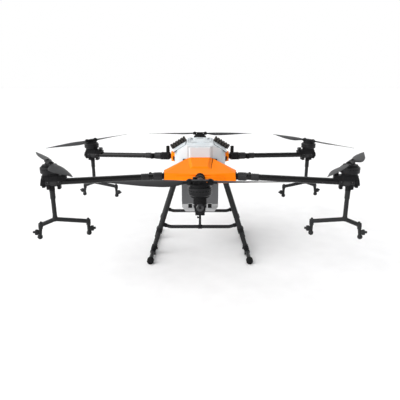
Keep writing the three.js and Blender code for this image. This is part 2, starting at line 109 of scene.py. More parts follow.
def bump(nodes, links, shader, height, strength, distance):
    node = nodes.new("ShaderNodeBump")
    node.inputs["Strength"].default_value = strength
    node.inputs["Distance"].default_value = distance
    links.new(height, node.inputs["Height"])
    links.new(node.outputs["Normal"], shader.inputs["Normal"])


def lacquer(shader, gloss, coat):
    shader.inputs["Specular IOR Level"].default_value = gloss
    shader.inputs["Coat Weight"].default_value = coat
    shader.inputs["Coat Roughness"].default_value = 0.08


def moulded(name, dark, light, low, high, gloss=0.5, depth=0.00008, metallic=0.0, coat=0.0):
    """Plastic, rubber or painted metal: cloudy colour, uneven gloss and a fine surface grain.

    The roughness runs from low to high, and depth is that of the grain in metres.
    """
    material, nodes, links, shader, vector = new_material(name)
    cloud = noise(nodes, links, vector, CLOUD_SCALE)
    fine = noise(nodes, links, vector, GRAIN_SCALE, 2.0)
    links.new(ramp(nodes, links, cloud, [(0.3, dark), (0.7, light)]), shader.inputs["Base Color"])
    roughness_between(nodes, links, shader, noise(nodes, links, vector, GLOSS_SCALE), low, high)
    bump(nodes, links, shader, fine, 0.25, depth)
    shader.inputs["Metallic"].default_value = metallic
    lacquer(shader, gloss, coat)
    return material


def woven(name, dark, light, low, high, coat, gloss):
    """Carbon twill: two crossed sets of diagonal bands under lacquer."""
    material, nodes, links, shader, vector = new_material(name)
    crossed = nodes.new("ShaderNodeMath")
    crossed.operation = "MULTIPLY"
    for factor, turn in zip(crossed.inputs, (math.pi / 4, -math.pi / 4)):
        mapping = nodes.new("ShaderNodeMapping")
        mapping.inputs["Rotation"].default_value = (turn, turn, turn)
        links.new(vector, mapping.inputs["Vector"])
        wave = nodes.new("ShaderNodeTexWave")
        wave.inputs["Scale"].default_value = WEAVE_SCALE
        wave.inputs["Distortion"].default_value = 0.4
        links.new(mapping.outputs["Vector"], wave.inputs["Vector"])
        links.new(wave.outputs["Fac"], factor)
    weave = crossed.outputs["Value"]
    links.new(ramp(nodes, links, weave, [(0.15, dark), (0.6, light)]), shader.inputs["Base Color"])
    roughness_between(nodes, links, shader, noise(nodes, links, vector, 25.0), low, high)
    bump(nodes, links, shader, weave, 0.06, 0.0001)
    lacquer(shader, gloss, coat)
    return material


TUBE_CARBON = woven("tube_carbon", (0.001, 0.001, 0.0012), (0.004, 0.004, 0.0045),
                    0.22, 0.32, 0.3, 0.15)
PLATE_CARBON = woven("plate_carbon", (0.003, 0.003, 0.0035), (0.009, 0.009, 0.01),
                     0.4, 0.55, 0.0, 0.15)
BLADE_CARBON = woven("blade_carbon", (0.012, 0.0125, 0.0135), (0.021, 0.022, 0.0235),
                     0.42, 0.55, 0.05, 0.16)
ORANGE = moulded("orange_shell", (0.93, 0.20, 0.0015), (0.97, 0.225, 0.002), 0.42, 0.55, 0.08)
WHITE = moulded("white_shell", (0.58, 0.625, 0.65), (0.62, 0.66, 0.685),
                0.36, 0.48, 0.22, coat=0.05)
GREY = moulded("tank_grey", (0.10, 0.102, 0.106), (0.13, 0.133, 0.137), 0.4, 0.52, 0.22)
# The tank's pale foot and window frames, and painted shade lines beside the housing's raised end
# panels
PALE_GREY_AND_PAINTED_SHADE = moulded("tank_foot_grey_and_painted_shade", (0.36, 0.365, 0.37), (0.44, 0.445, 0.45), 0.42, 0.54, 0.3)
BLACK = moulded("black_nylon", (0.004, 0.004, 0.0045), (0.009, 0.009, 0.01), 0.45, 0.62, 0.14)
COLLAR = moulded("collar_nylon", (0.009, 0.009, 0.01), (0.016, 0.016, 0.017), 0.3, 0.42, 0.35)
# Near-black for some screw heads and marks, and painted shade in grooves, vent slots, seams and
# finger slots
BLACK_MARKS_AND_PAINTED_SHADE = moulded("near_black_marks_and_painted_shade", (0.002, 0.002, 0.002), (0.004, 0.004, 0.004), 0.6, 0.75, 0.08)
BELL = moulded("bell_alloy", (0.005, 0.005, 0.006), (0.012, 0.012, 0.013),
               0.28, 0.4, 0.25, metallic=0.2)
STEEL = moulded("screw_steel", (0.06, 0.06, 0.063), (0.11, 0.11, 0.115), 0.28, 0.42, metallic=1.0)
PAINTED = moulded("painted_tube", (0.013, 0.0135, 0.014), (0.019, 0.0195, 0.0205), 0.4, 0.55, 0.2)
BROWN = moulded("ribbed_grip", (0.034, 0.029, 0.025), (0.052, 0.045, 0.039), 0.5, 0.68, 0.2)
RUBBER = moulded("rubber", (0.005, 0.005, 0.005), (0.01, 0.01, 0.01), 0.6, 0.8, 0.12, 0.00015)
LENS = moulded("lamp_lens", (0.008, 0.0085, 0.01), (0.018, 0.019, 0.022), 0.12, 0.2, coat=0.4)
# Dark grey for the rear glands and status lights, and painted shade lines under the housing's brows
# and round its shoulder plates
GLAND_GREY_AND_PAINTED_SHADE = moulded("gland_grey_and_painted_shade_lines", (0.045, 0.046, 0.048), (0.075, 0.077, 0.08), 0.4, 0.55)


# Mesh building: each function returns a closed bmesh in local millimetres

def circle(count):
    """Angles in even steps round a circle."""
    return [2 * math.pi * k / count for k in range(count)]


def turned(profile, sides=40):
    """A solid of revolution about Z through (radius, z) points.

    The profile starts and ends on the axis, or it is a closed ring off it.
    """
    mesh = bmesh.new()
    rings = []
    for radius, z in profile:
        rings.append([mesh.verts.new((radius * math.cos(a), radius * math.sin(a), z))
                      for a in (circle(sides) if radius else [0])])
    is_ring = profile[0][0] != 0
    for low, high in zip(rings, rings[1:] + rings[:1] if is_ring else rings[1:]):
        for k in range(sides):
            after = (k + 1) % sides
            corners = [low[k % len(low)], low[after % len(low)]]
            corners += [high[after % len(high)], high[k % len(high)]]
            unique = list(dict.fromkeys(corners))
            if len(unique) > 2:
                mesh.faces.new(unique)
    bmesh.ops.recalc_face_normals(mesh, faces=mesh.faces)
    return mesh


def lofted(rings):
    """A closed form through rings that have as many points each."""
    mesh = bmesh.new()
    rings = [[mesh.verts.new(point) for point in ring] for ring in rings]
    for low, high in zip(rings, rings[1:]):
        for k in range(len(low)):
            after = (k + 1) % len(low)
            mesh.faces.new((low[k], low[after], high[after], high[k]))
    mesh.faces.new(rings[0])
    mesh.faces.new(rings[-1])
    bmesh.ops.recalc_face_normals(mesh, faces=mesh.faces)
    return mesh


def moved(mesh, matrix):
    bmesh.ops.transform(mesh, matrix=matrix, verts=mesh.verts)
    return mesh


def shifted(mesh, *offset):
    return moved(mesh, Matrix.Translation(offset))


def spun(mesh, angle):
    return moved(mesh, Matrix.Rotation(angle, 4, "Z"))


def aligned(mesh, start, end):
    """Moves a mesh built up Z from the origin so that it runs from start towards end."""
    run = Vector(end) - Vector(start)
    turn = Vector((0, 0, 1)).rotation_difference(run.normalized()).to_matrix().to_4x4()
    return moved(mesh, Matrix.Translation(start) @ turn)


def rod(radius, start, end, sides=32, chamfer=0.8):
    length = (Vector(end) - Vector(start)).length
    profile = [(0, 0), (radius - chamfer, 0), (radius, chamfer)]
    profile += [(radius, length - chamfer), (radius - chamfer, length), (0, length)]
    return aligned(turned(profile, sides), start, end)


def pipe(outer, inner, start, end, sides=48):
    length = (Vector(end) - Vector(start)).length
    profile = [(inner, 0), (outer, 0), (outer, length), (inner, length)]
    return aligned(turned(profile, sides), start, end)


def rounded(mesh, width, segments=2, angle=25):
    """Rounds the edges that turn by more than angle degrees."""
    sharp = [e for e in mesh.edges if e.is_manifold and e.calc_face_angle() > math.radians(angle)]
    bmesh.ops.bevel(mesh, geom=sharp, offset=width, segments=segments, affect="EDGES",
                    profile=0.5, clamp_overlap=True)
    return mesh


def brick(corner, opposite, width=1.0):
    """A block between two opposite corners, with rounded edges."""
    mesh = bmesh.new()
    bmesh.ops.create_cube(mesh, size=1.0)
    low, high = [Vector(map(pick, corner, opposite)) for pick in (min, max)]
    size = Matrix.Diagonal((*(high - low), 1.0))
    return rounded(moved(mesh, Matrix.Translation((low + high) / 2) @ size), width)


def slab(outline, z0, z1, width=0.8):
    """An upright prism over a plan outline, with rounded edges."""
    mesh = bmesh.new()
    ring = [mesh.verts.new((x, y, z0)) for x, y in outline]
    base = mesh.faces.new(ring)
    lifted = bmesh.ops.extrude_face_region(mesh, geom=[base])["geom"]
    verts = [v for v in lifted if isinstance(v, bmesh.types.BMVert)]
    bmesh.ops.translate(mesh, vec=(0, 0, z1 - z0), verts=verts)
    bmesh.ops.recalc_face_normals(mesh, faces=mesh.faces)
    return rounded(mesh, width)


def arc(x, y, radius, start, end, steps=10):
    """Points of an arc, angles in degrees."""
    turns = [math.radians(start + (end - start) * k / steps) for k in range(steps + 1)]
    return [(x + radius * math.cos(a), y + radius * math.sin(a)) for a in turns]


def bent_pipe(points, radius, bend, sides=20):
    """A round tube along straight runs joined by bends of a given radius."""
    points = [Vector(p) for p in points]
    path = [points[0]]
    for before, corner, after in zip(points, points[1:], points[2:]):
        to_before, to_after = (before - corner).normalized(), (after - corner).normalized()
        reach = bend / math.tan(to_before.angle(to_after) / 2)
        start, end = corner + to_before * reach, corner + to_after * reach
        path += [start.lerp(corner, k / 8).lerp(corner.lerp(end, k / 8), k / 8) for k in range(9)]
    path.append(points[-1])
    rings = []
    side = (path[1] - path[0]).orthogonal().normalized()
    for before, point, after in zip([path[0], *path], path, [*path[1:], path[-1]]):
        ahead = (after - before).normalized()
        side = (side - ahead * side.dot(ahead)).normalized()
        across = ahead.cross(side)
        rings.append([point + (side * math.cos(a) + across * math.sin(a)) * radius
                      for a in circle(sides)])
    return lofted(rings)


def flattened(mesh, angle):
    """Joins neighbouring faces that turn by less than angle degrees."""
    bmesh.ops.dissolve_limit(mesh, angle_limit=math.radians(angle),
                             verts=mesh.verts, edges=mesh.edges)


def convex(points, width=1.0, segments=2):
    """The convex form round some corners, its flat faces made whole and its edges rounded."""
    mesh = bmesh.new()
    for point in points:
        mesh.verts.new(point)
    made = bmesh.ops.convex_hull(mesh, input=mesh.verts)
    spare = [v for v in made["geom_interior"] if isinstance(v, bmesh.types.BMVert)]
    bmesh.ops.delete(mesh, geom=spare, context="VERTS")
    flattened(mesh, 1.0)
    return rounded(mesh, width, segments)


TO_METRES = Matrix.Diagonal((MM, MM, MM, 1.0))
SMOOTH_UP_TO = 32  # degrees between two faces that still shade as one surface
FACE_WEIGHT = 90  # large flat faces keep their own normals, and only the rounded edges shade softly


class Piece:
    """A visual piece that stands for one CAD node: closed forms with their own materials."""

    def __init__(self, node, place=Matrix.Identity(4)):
        self.node = node
        self.place = place @ TO_METRES
        self.mesh = bmesh.new()
        self.materials = []

    def slot_of(self, material):
        if material not in self.materials:
            self.materials.append(material)
        return self.materials.index(material)

    def absorb(self, form):
        data = bpy.data.meshes.new("form")
        form.to_mesh(data)
        form.free()
        self.mesh.from_mesh(data)
        bpy.data.meshes.remove(data)

    def add(self, form, material, below=None):
        """Adds a closed form; below gives a height and the material of the faces under it."""
        for face in form.faces:
            face.material_index = self.slot_of(material)
            if below and face.calc_center_median().z < below[0]:
                face.material_index = self.slot_of(below[1])
        self.absorb(form)

    def take(self, other):
        """Takes over the forms of another piece that has its own place."""
        slots = [self.slot_of(material) for material in other.materials]
        moved(other.mesh, self.place.inverted() @ other.place)
        for face in other.mesh.faces:
            face.material_index = slots[face.material_index]
        self.absorb(other.mesh)

    def own_form(self, width, segments=2, angle=12):
        """The node's CAD form in millimetres, its flat faces made whole and its edges rounded."""
        mesh = bmesh.new()
        mesh.from_mesh(frame["nodes"][self.node].data)
        moved(mesh, self.place.inverted())
        bmesh.ops.remove_doubles(mesh, verts=mesh.verts, dist=0.01)
        flattened(mesh, 1.5)
        return rounded(mesh, width, segments, angle)

    def finish(self, body="airframe"):
        moved(self.mesh, self.place)
        name = self.node + "_form"
        data = bpy.data.meshes.new(name)
        self.mesh.to_mesh(data)
        self.mesh.free()
        for material in self.materials:
            data.materials.append(material)
        data.shade_smooth()
        data.set_sharp_from_angle(angle=math.radians(SMOOTH_UP_TO))
        piece = new_object(name, data)
        weighted = piece.modifiers.new("weighted_normals", "WEIGHTED_NORMAL")
        weighted.keep_sharp = True
        weighted.weight = FACE_WEIGHT
        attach(piece, body)
        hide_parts(self.node)


def cap_screw(start, end, radius=3.0):
    """A socket-head screw whose head ends at end."""
    length = (Vector(end) - Vector(start)).length
    socket = radius * 0.55
    profile = [(0, 0), (radius, 0), (radius, length - 0.5), (radius - 0.5, length)]
    profile += [(socket, length), (socket, length - radius * 0.8), (0, length - radius * 0.8)]
    return aligned(turned(profile, 18), start, end)


# Stations: one local frame per arm, X outward along the tube, Z up the motor axis

EAR_OFFSET = 27  # from the tube's axis to the fold pin
BELL_HEIGHT = 57  # the height over the tube's axis at which the spin joints are stated
TUBE_RADIUS = 15.5
TUBE_BORE = 13.5


def station_frame(name):
    spin, fold = JOINTS["spin_" + name], JOINTS["fold_" + name]
    up = Vector(spin["axis"])
    origin = Vector(spin["pos_m"]) - up * BELL_HEIGHT * MM
    side = 1 if Vector(fold["axis"]).dot(up) > 0 else -1
    reach = Vector(fold["pos_m"]) - origin
    parting = -math.sqrt(reach.length ** 2 - (EAR_OFFSET * MM) ** 2)
    # reach = parting * outward + side * EAR_OFFSET * (up x outward)
    turn = math.atan2(side * EAR_OFFSET * MM, parting)
    outward = (Quaternion(up, -turn) @ reach).normalized()
    across = up.cross(outward)
    place = Matrix((outward, across, up)).transposed().to_4x4()
    place.translation = origin
    return place, parting / MM, side


def blade_turn(name, place):
    """The angle of the rotor about its axis, from the pin of its first blade."""
    pivot = place.inverted() @ Vector(JOINTS[f"blade_fold_{name}_a"]["pos_m"])
    return math.atan2(pivot.y, pivot.x)


def fold_ear(parting, side, z0, z1, towards):
    """A hinge ear round the fold pin, and the web that joins it to the tube."""
    y = side * EAR_OFFSET
    disc = slab(arc(parting, y, 8, 0, 360, 24)[:-1], z0, z1, 0.5)
    web = brick((parting + towards * 0.2, side * 9, z0 + 0.4),
                (parting + towards * 14, y, z1 - 0.4), 0.8)
    return [disc, web]


def ribbed_ring(radius, start, end, grooves, depth=1.0):
    """A collar along X with shallow grooves round it."""
    length = end - start
    profile = [(TUBE_RADIUS - 1, 0), (radius - 1.2, 0), (radius, 1.2)]
    for k in range(grooves):
        middle = length * (k + 1) / (grooves + 1)
        profile += [(radius, middle - 1.5), (radius - depth, middle - 0.8),
                    (radius - depth, middle + 0.8), (radius, middle + 1.5)]
    profile += [(radius, length - 1.2), (radius - 1.2, length), (TUBE_RADIUS - 1, length)]
    return aligned(turned(profile, 48), (start, 0, 0), (end, 0, 0))


def fluted_collar(radius, start, end, flutes=16):
    """A locking sleeve along X whose grip has flutes along it."""
    outline = []
    step = 360 / flutes
    for k in range(flutes):
        middle = k * step
        outline += arc(0, 0, radius, middle - step * 0.36, middle + step * 0.22, 4)
        outline += arc(0, 0, radius - 1.1, middle + step * 0.3, middle + step * 0.56, 2)
    length = end - start
    grip = aligned(slab(outline, 6, length - 6, 0.35), (start, 0, 0), (end, 0, 0))
    rim, waist = radius - 0.8, radius - 1.3
    profile = [(0, 0), (radius - 2.0, 0), (rim, 1.5), (rim, 7), (waist, 8), (waist, length - 8)]
    profile += [(rim, length - 7), (rim, length - 1.5), (radius - 2.5, length), (0, length)]
    return [grip, aligned(turned(profile, 48), (start, 0, 0), (end, 0, 0))]


def make_arm(name, place, parting, side):
    """The tube outward of the fold joint, with its lock ring and hinge ear."""
    arm = Piece("arm_tube_" + name, place)
    arm.add(pipe(TUBE_RADIUS, TUBE_BORE, (parting + 0.3, 0, 0), (28, 0, 0), 64), TUBE_CARBON)
    arm.add(ribbed_ring(18, parting + 12, parting + 47, 3), COLLAR)
    for form in fold_ear(parting, side, -5, 5, 1):
        arm.add(form, BLACK)
    arm.finish("arm_" + name)


def add_socket(piece, parting, side):
    """The fixed side of a fold joint: locking sleeve, tube end, two ears, pin and its screw."""
    for form in fluted_collar(21, parting - 54, parting - 12):
        piece.add(form, COLLAR)
    tube_end = pipe(TUBE_RADIUS, TUBE_BORE, (parting - 16, 0, 0), (parting - 0.3, 0, 0), 64)
    piece.add(tube_end, TUBE_CARBON)
    for low, high in ((-15, -5.3), (5.3, 15)):
        for form in fold_ear(parting, side, low, high, -1):
            piece.add(form, BLACK)
    y = side * EAR_OFFSET
    piece.add(rod(3.4, (parting, y, -16), (parting, y, 14), 20), STEEL)
    piece.add(cap_screw((parting, y, 14), (parting, y, 17.8), 5.2), STEEL)


def make_socket(name, place, parting, side):
    socket = Piece("fold_socket_" + name, place)
    socket.add(rod(15, (-540, 0, 0), (-521, 0, 0), 40), BLACK)
    add_socket(socket, parting, side)
    if name.startswith("rear"):
        socket.add(brick((-523, -20, -21.5), (-464, 20, 21.5), 3.5), BLACK)
        socket.add(brick((-500, -21, -10), (-486, 21, 10), 1.5), BLACK)
        for x in (-517, -472):
            for z in (-14, 14):
                for y in (1, -1):
                    socket.add(cap_screw((x, y * 16, z), (x, y * 21.5, z)), STEEL)
    else:
        socket.add(ribbed_ring(19.5, -526.5, -522, 1, 0.6), BLACK)
    socket.finish()


ANTENNA_X = -511


def make_antenna(name, place):
    post = Piece("antenna_" + name, place)
    profile = [(0, 21.8), (12, 21.8), (12, 25), (10.6, 26.5), (10.6, 31), (11, 32)]
    profile += [(11, 60), (10, 62.4), (8.5, 63), (0, 63)]
    post.add(shifted(turned(profile), ANTENNA_X, 0, 0), BLACK)
    # A thin near-black band round the post: painted shade of a groove
    groove = [(10.9, 36), (11.2, 36), (11.2, 38), (10.9, 38)]
    post.add(shifted(turned(groove), ANTENNA_X, 0, 0), BLACK_MARKS_AND_PAINTED_SHADE)
    post.finish()


UPRIGHT = Matrix.Rotation(math.pi / 2, 4, "X")  # turns a plan outline into one in X and Z
UPRIGHT_ACROSS = Matrix.Rotation(math.pi / 2, 4, "Z") @ UPRIGHT  # and this into one in Y and Z
FOOT_Z = -33


def add_clamp(mount):
    """The clamp round the tube in three rings, with its split lugs, feet and screws."""
    for start, end in ((-44, -27), (-25, 4), (6, 24)):
        mount.add(pipe(22, 15.9, (start, 0, 0), (end, 0, 0)), COLLAR)
    mount.add(pipe(20.5, 15.9, (-42, 0, 0), (28, 0, 0)), BLACK)
    for x in (-35, 14):
        for y in (-1, 1):
            mount.add(brick((x - 6, y * 19, -4), (x + 6, y * 24.5, 4)), BLACK)
            mount.add(cap_screw((x, y * 22.5, 0), (x, y * 22.5, 6.5), 2.8), STEEL)
        foot = [(-18, FOOT_Z), (18, FOOT_Z), (18, FOOT_Z + 9)]
        foot += [(21.5, -11), (-21.5, -11), (-18, FOOT_Z + 9)]
        mount.add(moved(slab(foot, x - 8, x + 8, 1.5), UPRIGHT_ACROSS), BLACK)
        for y in (-11, 11):
            mount.add(cap_screw((x, y, FOOT_Z + 3), (x, y, FOOT_Z - 1.8), 3.4), STEEL)


def add_controller(mount, is_rear):
    """The speed controller's wedge under the motor, with cooling fins on its flanks and a gland."""
    low_end, rise = -72, 0.155
    outline = [(low_end, 8), (24, 8), (24, 36), (-30, 35), (low_end, 28)]
    mount.add(moved(slab(outline, -22, 22, 2.0), UPRIGHT), BLACK)
    for k in range(8):
        x = low_end + 6 + 5.2 * k
        mount.add(brick((x, -23.4, 11), (x + 2.4, 23.4, 26.5 + (x - low_end) * rise), 0.6), BLACK)
    gland = [(0, 0), (7.6, 0), (9.5, 1.5), (9.5, 20), (8.4, 21.5), (8.4, 23), (0, 23)]
    gland_form = aligned(turned(gland, 28), (-73, 0, 38), (-50, 0, 40))
    mount.add(gland_form, GLAND_GREY_AND_PAINTED_SHADE if is_rear else BLACK)
    mount.add(pipe(10.2, 8, (-66, 0, 38.6), (-61, 0, 39.1), 28), BLACK)


SEAT_RADIUS = 41
SEAT_HALF_WIDTH = 24


def add_motor_base(mount):
    """The motor's seat: a ribbed bar with round ends across the tube, with a step and a disc."""
    half = math.degrees(math.asin(SEAT_HALF_WIDTH / SEAT_RADIUS))
    for radius, z0, z1, width in ((SEAT_RADIUS, 14, 33, 1.5), (38, 32, 38, 1.0)):
        outline = arc(0, 0, radius, -half, half) + arc(0, 0, radius, 180 - half, 180 + half)
        mount.add(slab(outline, z0, z1, width), BLACK)
    mount.add(turned([(0, 37), (37, 37), (37, 42.6), (36, 43.6), (0, 43.6)], 44), BLACK)
    for x in (-30, -10, 10, 30):
        mount.add(brick((x - 2, -24.8, 16), (x + 2, 24.8, 31), 0.7), BLACK)
    for k in range(-2, 3):
        mount.add(spun(brick((39.6, -1.4, 16), (42, 1.4, 31), 0.6), k * 0.22), BLACK)


def add_lamp(mount):
    """The end lamp: a tilted housing with its bezel and lens, and a lip under it."""
    axis = ((27, 0, 1), (47, 0, 5))
    lamp = [(0, 0), (16.5, 0), (19, 2), (20.8, 10), (21.5, 12), (21.5, 17.5)]
    lamp += [(20.3, 19.8), (16.4, 20.4), (15.8, 17.4), (0, 17.4)]
    mount.add(aligned(turned(lamp, 48), *axis), BLACK)
    lens = [(0, 17), (15.4, 17), (14.6, 18.4), (10, 19.7), (5, 20.2), (0, 20.3)]
    mount.add(aligned(turned(lens), *axis), LENS)
    mount.add(aligned(turned([(0, 20), (5.6, 20), (5.2, 21), (0, 21.2)], 24), *axis), BLACK)
    lip = [(-14, -24), (14, -24), (17, -18), (17, -12), (-17, -12), (-17, -18)]
    mount.add(moved(slab(lip, 28, 42, 1.5), UPRIGHT_ACROSS), BLACK)


def make_mount(name, place, with_boom):
    mount = Piece("motor_mount_" + name, place)
    add_clamp(mount)
    add_controller(mount, name.startswith("rear"))
    add_motor_base(mount)
    add_lamp(mount)
    if with_boom:
        profile = [(0, -42), (12.8, -42), (13.5, -41), (13.5, -26), (15, -24), (15, -17), (0, -17)]
        mount.add(turned(profile), BLACK)
    mount.finish("arm_" + name)


BLADE_PIVOT = 39  # from the rotor's axis to each blade's pin
BLADE_SPAN = 342  # from the pin to the blade's tip
BLADE_NECK = 17
ROOT_PITCH, TIP_PITCH = 20, 7
ROOT_THICKNESS, TIP_THICKNESS = 8.2, 2.0


def make_rotor(name, place, turn):
    """Motor bell with painted shade for its vents, adapter, and the hub and plates that clamp the
    two blades.
    """
    rotor = Piece("rotor_" + name, place @ Matrix.Rotation(turn, 4, "Z"))
    bell = [(0, 44.3), (40, 44.3), (42.6, 45), (45, 47.4), (45.5, 49), (45.5, 57), (44.8, 57.6)]
    bell += [(44.8, 59), (45.5, 59.6), (45.5, 71), (44.8, 73), (42.6, 74.7), (41, 75), (0, 75)]
    rotor.add(turned(bell, 72), BELL)
    # Dark patches round the bell: painted shade of its vent slots
    for a in circle(24):
        rotor.add(spun(brick((44.4, -2.2, 62.8), (45.8, 2.2, 66.6), 0.5), a), BLACK_MARKS_AND_PAINTED_SHADE)
    adapter = [(0, 74), (38, 74), (38, 78.4), (37, 79), (34.6, 79.2), (34, 80), (34, 84)]
    rotor.add(turned([*adapter, (33.2, 84.9), (0, 84.9)], 56), BLACK)
    rotor.add(turned([(0, 84), (13, 84), (13, 99), (0, 99)]), BLACK)
    rotor.add(brick((-25.5, -11, 86.5), (25.5, 11, 97.5), 1.5), BLACK)
    right = arc(BLADE_PIVOT - 1, 0, 14, -80, 80, 12)
    left = arc(1 - BLADE_PIVOT, 0, 14, 100, 260, 12)
    outline = right + [(18, 12.4), (-18, 12.4)] + left + [(-18, -12.4), (18, -12.4)]
    for z0, z1 in ((84, 87), (97, 100)):
        rotor.add(slab(outline, z0, z1, 0.7), BLACK)
    for side in (-1, 1):
        x = side * BLADE_PIVOT
        rotor.add(rod(4.4, (x, 0, 82), (x, 0, 101), 20), STEEL)
        head = [(0, 100), (7.5, 100), (8, 101), (8, 103), (7, 104)]
        head += [(3.2, 104), (3.2, 102), (0, 102)]
        rotor.add(shifted(turned(head, 24), x, 0, 0), BLACK)
        nut = [(0, 81.6), (7, 81.6), (7, 84), (0, 84)]
        rotor.add(shifted(turned(nut, 6), x, 0, 0), STEEL)
    for x in (-8, 8):
        for y in (-7, 7):
            rotor.add(cap_screw((x, y, 99), (x, y, 102), 2.6), STEEL)
    rotor.finish("propeller_hub_" + name)


# Reach of each blade edge from the line through pivot and tip, at even steps from neck to tip
LEADING_EDGE = [9, 14, 17, 18, 17, 15, 12, 8, 2.5]
TRAILING_EDGE = [11, 30, 37, 36, 33, 26, 18, 9, 2.5]


def spline(values, t):
    """Smooth curve through evenly spaced values."""
    place = t * (len(values) - 1)
    k = min(int(place), len(values) - 2)
    f = place - k
    p = [values[max(0, min(len(values) - 1, k + n))] for n in (-1, 0, 1, 2)]
    return 0.5 * (2 * p[1] + (p[2] - p[0]) * f + (2 * p[0] - 5 * p[1] + 4 * p[2] - p[3]) * f * f
                  + (3 * p[1] - p[0] - 3 * p[2] + p[3]) * f ** 3)


def blade_form(spin):
    """The blade's wing, lofted from aerofoil sections with the leading edge high."""
    steps, around = 48, 24
    start = BLADE_NECK - 3
    tip_rounding = 0.03  # the share of the length in which the tip narrows
    rings = []
    for n in range(steps + 1):
        t = n / steps
        x = start + t * (BLADE_SPAN - start)
        near_tip = max(0.0, (t - 1 + tip_rounding) / tip_rounding)
        narrowing = math.sqrt(1 - near_tip ** 2 * 0.8)
        pitch = math.radians(ROOT_PITCH + (TIP_PITCH - ROOT_PITCH) * t)
        thickness = ROOT_THICKNESS + (TIP_THICKNESS - ROOT_THICKNESS) * t
        ring = []
        for a in circle(around):
            edge = LEADING_EDGE if -math.cos(a) * spin > 0 else TRAILING_EDGE
            across = -math.cos(a) * spline(edge, t) * narrowing
            forward = (1 - spin * math.cos(a)) / 2  # 0 at the trailing edge, 1 at the leading edge
            half = thickness / 2 * (0.35 + 0.65 * math.sin(math.pi * min(1, forward * 0.72 + 0.28)))
            up = math.sin(a) * half + thickness * 0.16 * math.sin(math.pi * forward)
            y = across * math.cos(pitch) - spin * up * math.sin(pitch)
            ring.append((x, y, up * math.cos(pitch) + spin * across * math.sin(pitch)))
        rings.append(ring)
    return lofted(rings)


def blade_heading(node, place, pivot):
    """The angle at which a packed blade points from its pin, from the points near its tip."""
    inverse = place.inverted()
    reach = [inverse @ vert.co - pivot for vert in frame["nodes"][node].data.vertices]
    tip = [point for point in reach if point.length > (BLADE_SPAN - 4) * MM]
    middle = sum(tip, Vector()) / len(tip)
    return math.atan2(middle.y, middle.x)


def make_blade(name, letter, place, spin):
    node = f"blade_{name}_{letter}"
    pivot = place.inverted() @ Vector(JOINTS[f"blade_fold_{name}_{letter}"]["pos_m"])
    heading = Matrix.Rotation(blade_heading(node, place, pivot), 4, "Z")
    piece = Piece(node, place @ Matrix.Translation(pivot) @ heading)
    piece.add(blade_form(spin), BLADE_CARBON)
    piece.add(turned([(5, -4.6), (11.4, -4.6), (12, -4), (12, 4), (11.4, 4.6), (5, 4.6)]), BLACK)
    neck = [(4, -9.5), (BLADE_NECK + 10, -12), (BLADE_NECK + 10, 12), (4, 9.5)]
    piece.add(slab(neck, -3.8, 3.8, 1.6), BLACK)
    piece.finish(f"propeller_{node}")


BOOM_DROP = 183.7  # from the arm tube's axis down to the spreader's middle
INNER_END, OUTER_END = -153.6, 69  # the spreader's ends from the mast
END_DROOP = 24
OUTER_LEAN = math.radians(8.5)
BOOM_BOX_MARGIN = 0.024  # metres that the fittings at the ends add to the spreader's box


def drop_tube(outward):
    """Elbow, drop tube, check valve and nozzle under an end of the spreader, at the origin."""
    elbow = [(0, -13), (9.6, -13), (10.6, -11), (11.5, -8), (11.5, 6), (10.2, 9.5), (7, 11)]
    elbow += [(5.5, 11.5), (5.5, 16), (4.4, 17), (0, 17)]
    forms = [turned(elbow, 32), turned([(0, -52), (8, -52), (8, -12), (0, -12)], 28),
             turned([(0, -19.5), (10.4, -19.5), (10.4, -13), (0, -13)], 6)]
    valve = [(0, 0), (9, 0), (9, 8), (12.6, 9), (13.5, 10.5), (13.5, 21), (12, 24), (6.6, 25)]
    valve += [(6, 26), (6, 32), (5, 34), (0, 34)]
    sideways = ((0, 0, -38), (outward, 0, -38))
    forms.append(aligned(turned(valve, 32), *sideways))
    for a in circle(12):
        forms.append(aligned(spun(brick((11.5, -0.9, 11), (13.9, 0.9, 20.5), 0.3), a), *sideways))
    tip = [(0, -72), (4, -72), (4.6, -69.5), (9, -69), (11.8, -65), (12.5, -60), (11.8, -55)]
    tip += [(9, -51), (7.8, -49), (0, -49)]
    forms.append(turned(tip, 32))
    return forms


def make_boom(name, place):
    """A mast under the motor and a drooping spreader with a nozzle at each end."""
    turn = Matrix.Rotation(boom_turn(name, place), 4, "Z")
    boom = Piece("nozzle_boom_" + name, place @ turn)
    mast = [(0, -BOOM_DROP + 6), (10.5, -BOOM_DROP + 6), (10.5, -84), (11.2, -82), (12.5, -80)]
    mast += [(12.5, -47), (13, -46), (13, -42.3), (0, -42.3)]
    boom.add(turned(mast), PAINTED)
    end_z = -BOOM_DROP - END_DROOP
    fork = [(INNER_END, 0, end_z), (0, 0, -BOOM_DROP), (OUTER_END, 0, end_z)]
    boom.add(bent_pipe(fork, 10.5, 30, 28), PAINTED)
    saddle = [(0, -11), (9, -10), (12, -3), (12, 9), (10.6, 17), (0, 17)]
    boom.add(shifted(turned(saddle, 32), 0, 0, -BOOM_DROP), PAINTED)
    for form in drop_tube(-1):
        boom.add(shifted(form, INNER_END, 0, end_z), PAINTED)
    lean = Matrix.Translation((OUTER_END, 0, end_z)) @ Matrix.Rotation(-OUTER_LEAN, 4, "Y")
    for form in drop_tube(1):
        boom.add(moved(form, lean), PAINTED)
    boom.finish("arm_" + name)


def boom_turn(name, place):
    """The spreader's angle off the arm's line, from the box of its CAD node."""
    low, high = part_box("nozzle_boom_" + name)
    span = math.atan2(high.y - low.y - BOOM_BOX_MARGIN, high.x - low.x - BOOM_BOX_MARGIN)
    outward = place.col[0].to_3d()
    lean = math.atan2(abs(outward.y), abs(outward.x))
    hand = 1 if outward.x * outward.y > 0 else -1
    return hand * (span - lean)


